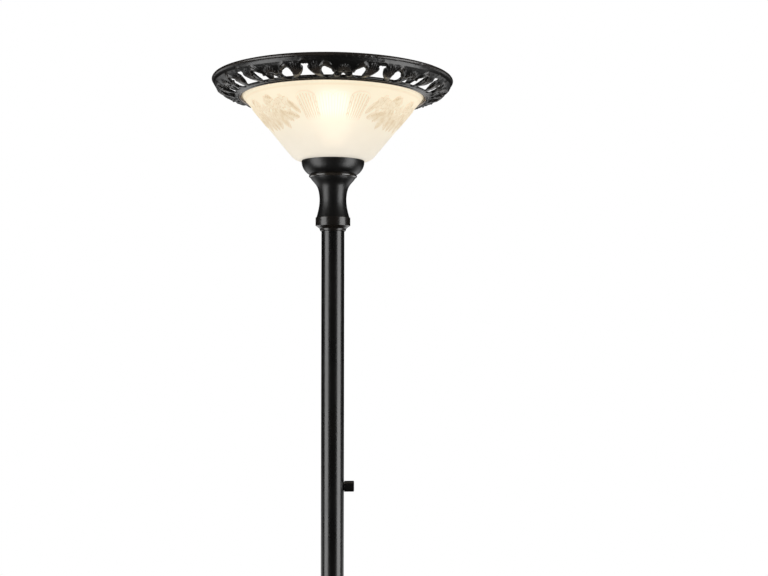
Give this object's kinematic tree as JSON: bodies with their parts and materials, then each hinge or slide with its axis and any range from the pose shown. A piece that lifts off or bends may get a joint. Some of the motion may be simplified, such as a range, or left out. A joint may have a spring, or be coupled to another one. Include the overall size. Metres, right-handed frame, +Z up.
{
  "type": "torchiere floor lamp",
  "caption": "Torchiere floor lamp: stepped round base, slim pole with a side switch knob, turned neck and cup, and an upward glass bowl with a pierced cast ring.",
  "frame": {"origin": "centre of the base on the floor, on the lamp's axis", "axes": "+Z up along the pole; the switch knob points along +X; the front faces -Y and the cord inlet is on +Y"},
  "size_m": [0.334, 0.334, 1.8029],
  "materials": {
    "black_enamel": "gloss black baked enamel with a faint brown cast",
    "bronzed_collar": "dark antique bronze, satin",
    "ring_casting": "dark antique bronze over cast relief, rubbed on its edges",
    "cast_weight": "rough casting",
    "felt": "black felt",
    "black_rubber": "moulded rubber",
    "clear_rubber": "translucent silicone gasket",
    "plated_steel": "zinc plated",
    "spring_brass": "bright",
    "frosted_glass": "frosted cream glass with moulded relief",
    "phenolic": "moulded black phenolic",
    "switch_plastic": "moulded switch body",
    "bulb_frosted": "inside frosted",
    "bulb_stem_glass": "clear",
    "cap_aluminium": "rolled",
    "black_glass": "glossy insulator",
    "solder": "solder blob",
    "lead_insulation": "wire insulation"
  },
  "bodies": {
    "lamp": {"base_cover": "black_enamel", "base_pad": "felt", "base_weight": "cast_weight", "base_spacer": "plated_steel", "base_hub": "black_enamel", "base_stud": "plated_steel", "base_washer": "plated_steel", "base_nut": "plated_steel", "cord_grommet": "black_rubber", "foot_insert": "plated_steel", "head_insert": "plated_steel", "switch_case": "switch_plastic", "switch_lid": "switch_plastic", "switch_bushing": "plated_steel", "switch_nut": "plated_steel", "switch_contacts": "spring_brass", "socket_leads": "lead_insulation", "pole_collar": "bronzed_collar", "neck_bell": "black_enamel", "fitter_cup": "black_enamel", "cup_nipple": "plated_steel", "cup_washer": "plated_steel", "cup_nut": "plated_steel", "bowl_gasket": "clear_rubber", "glass_bowl": "frosted_glass", "ring_washer": "clear_rubber", "socket_ring": "phenolic", "socket_body": "phenolic", "screw_shell": "spring_brass", "centre_contact": "spring_brass", "bulb_tip": "solder", "bulb_insulator": "black_glass", "bulb_cap": "cap_aluminium", "bulb_glass": "bulb_frosted", "bulb_stem": "bulb_stem_glass", "bulb_filament": "plated_steel", "rim_gasket": "clear_rubber", "rim_ring": "ring_casting", "pole_section_1": "black_enamel", "pole_section_2": "black_enamel", "pole_section_3": "black_enamel", "pole_section_4": "black_enamel", "pole_stud_1": "plated_steel", "pole_insert_1": "plated_steel", "pole_stud_2": "plated_steel", "pole_insert_2": "plated_steel", "pole_stud_3": "plated_steel", "pole_insert_3": "plated_steel"},
    "knob": {"switch_knob": "black_enamel", "knob_screw": "plated_steel", "switch_shaft": "plated_steel", "switch_rotor": "switch_plastic"}
  },
  "joints": [
    {"name": "switch_turn", "type": "hinge", "parent": "lamp", "child": "knob", "pos_m": [0.0234, 0, 1.2385], "axis": [1, 0, 0], "continuous": true}
  ]
}
